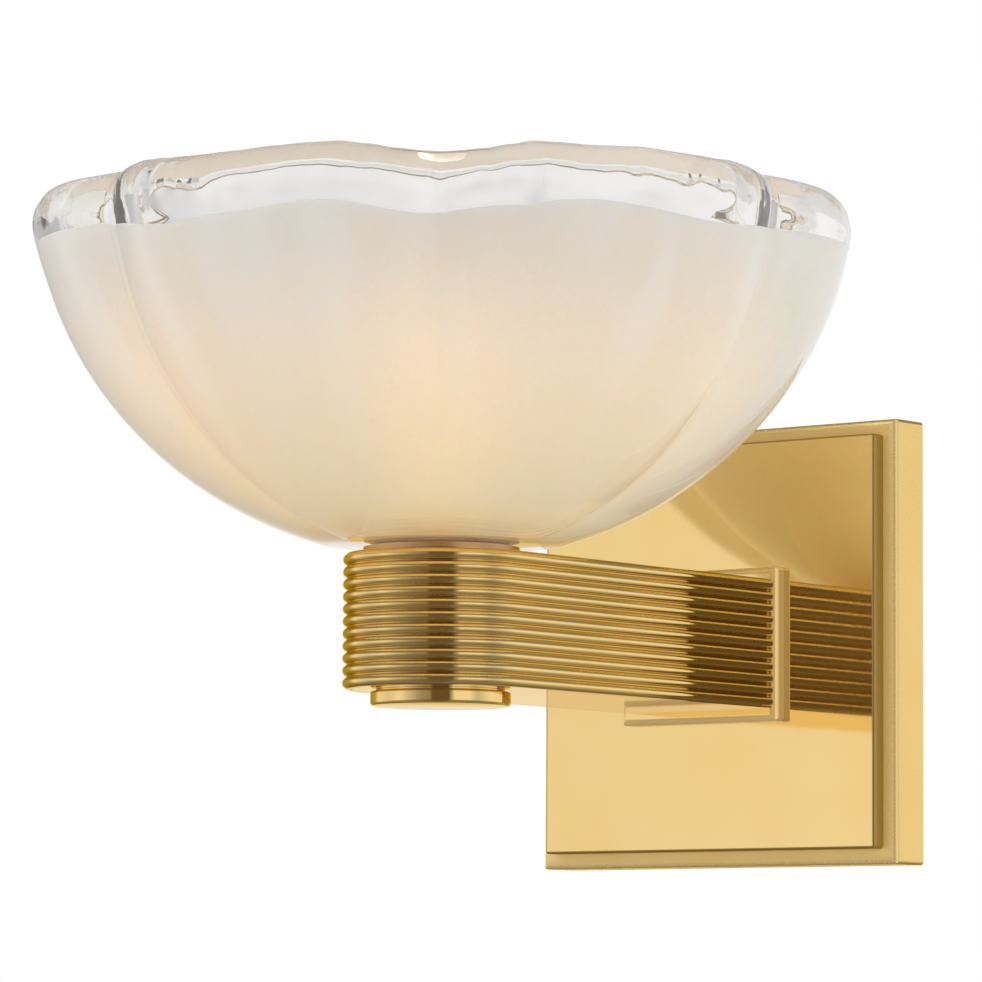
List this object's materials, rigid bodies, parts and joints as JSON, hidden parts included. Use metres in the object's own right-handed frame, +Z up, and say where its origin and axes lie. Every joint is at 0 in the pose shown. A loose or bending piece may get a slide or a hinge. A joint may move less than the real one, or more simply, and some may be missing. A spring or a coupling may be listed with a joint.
{
  "type": "vanity light",
  "caption": "Wall-mounted vanity light: a lobed clear-over-opal glass bowl, open at the top, on a reeded brass arm with a stepped square back plate.",
  "frame": {"origin": "centre of the back plate's back face, on the wall", "axes": "+Y into the wall, the light faces -Y, +X to the right seen from the front, +Z up"},
  "size_m": [0.22, 0.253, 0.1805],
  "materials": {
    "polished_brass": "warm polished brass, lacquered",
    "zinc_steel": "zinc-plated",
    "clear_glass": "clear, fire polished",
    "opal_glass": "white opal",
    "silicone": "translucent silicone",
    "porcelain": "unglazed steatite",
    "lamp_plastic": "moulded",
    "frosted_glass": "frosted",
    "led_phosphor": "phosphor coated",
    "circuit_board": "white solder mask",
    "nickel_contact": "nickel-plated",
    "black_lead": "silicone sleeve",
    "white_lead": "silicone sleeve",
    "block_nylon": "moulded nylon",
    "grommet_nylon": "moulded nylon",
    "green_screw": "green dyed"
  },
  "bodies": {
    "fixture": {"backplate_pan": "polished_brass", "front_panel": "polished_brass", "panel_nuts": "zinc_steel", "backing_plate": "zinc_steel", "wall_crossbar": "zinc_steel", "plate_set_screws": "zinc_steel", "arm_collar": "polished_brass", "arm_bolts": "zinc_steel", "arm_bolt_washers": "zinc_steel", "wire_grommet": "grommet_nylon", "terminal_block": "block_nylon", "terminal_screws": "zinc_steel", "block_screw": "zinc_steel", "ground_screw": "green_screw", "ground_cup_washer": "zinc_steel", "live_lead": "black_lead", "neutral_lead": "white_lead", "arm_body": "polished_brass", "arm_bottom_cover": "polished_brass", "threaded_nipple": "zinc_steel", "nipple_nuts": "zinc_steel", "lock_washers": "zinc_steel", "lampholder_cup": "polished_brass", "lower_gasket": "silicone", "lampholder_body": "porcelain", "lampholder_face": "porcelain", "holder_contacts": "nickel_contact", "holder_screws": "zinc_steel"},
    "shade": {"glass_bowl": "clear_glass", "opal_lining": "opal_glass", "upper_gasket": "silicone"},
    "ring": {"shade_ring": "polished_brass"},
    "lamp": {"lamp_base": "lamp_plastic", "lamp_pins": "nickel_contact", "lamp_globe": "frosted_glass", "led_board": "circuit_board", "led_chips": "led_phosphor"},
    "cap": {"bottom_cap": "polished_brass"}
  },
  "joints": [
    {"name": "shade_lift", "type": "slide", "parent": "fixture", "child": "shade", "axis": [0, 0, 1], "range_m": [0, 0.12]},
    {"name": "ring_turn", "type": "hinge", "parent": "shade", "child": "ring", "pos_m": [0, -0.1405, 0.0345], "axis": [0, 0, 1], "range_deg": [0, 720]},
    {"name": "lamp_pull", "type": "slide", "parent": "fixture", "child": "lamp", "axis": [0, 0, 1], "range_m": [0, 0.1]},
    {"name": "cap_turn", "type": "hinge", "parent": "fixture", "child": "cap", "pos_m": [0, -0.1405, -0.0207], "axis": [0, 0, -1], "range_deg": [0, 720]}
  ]
}
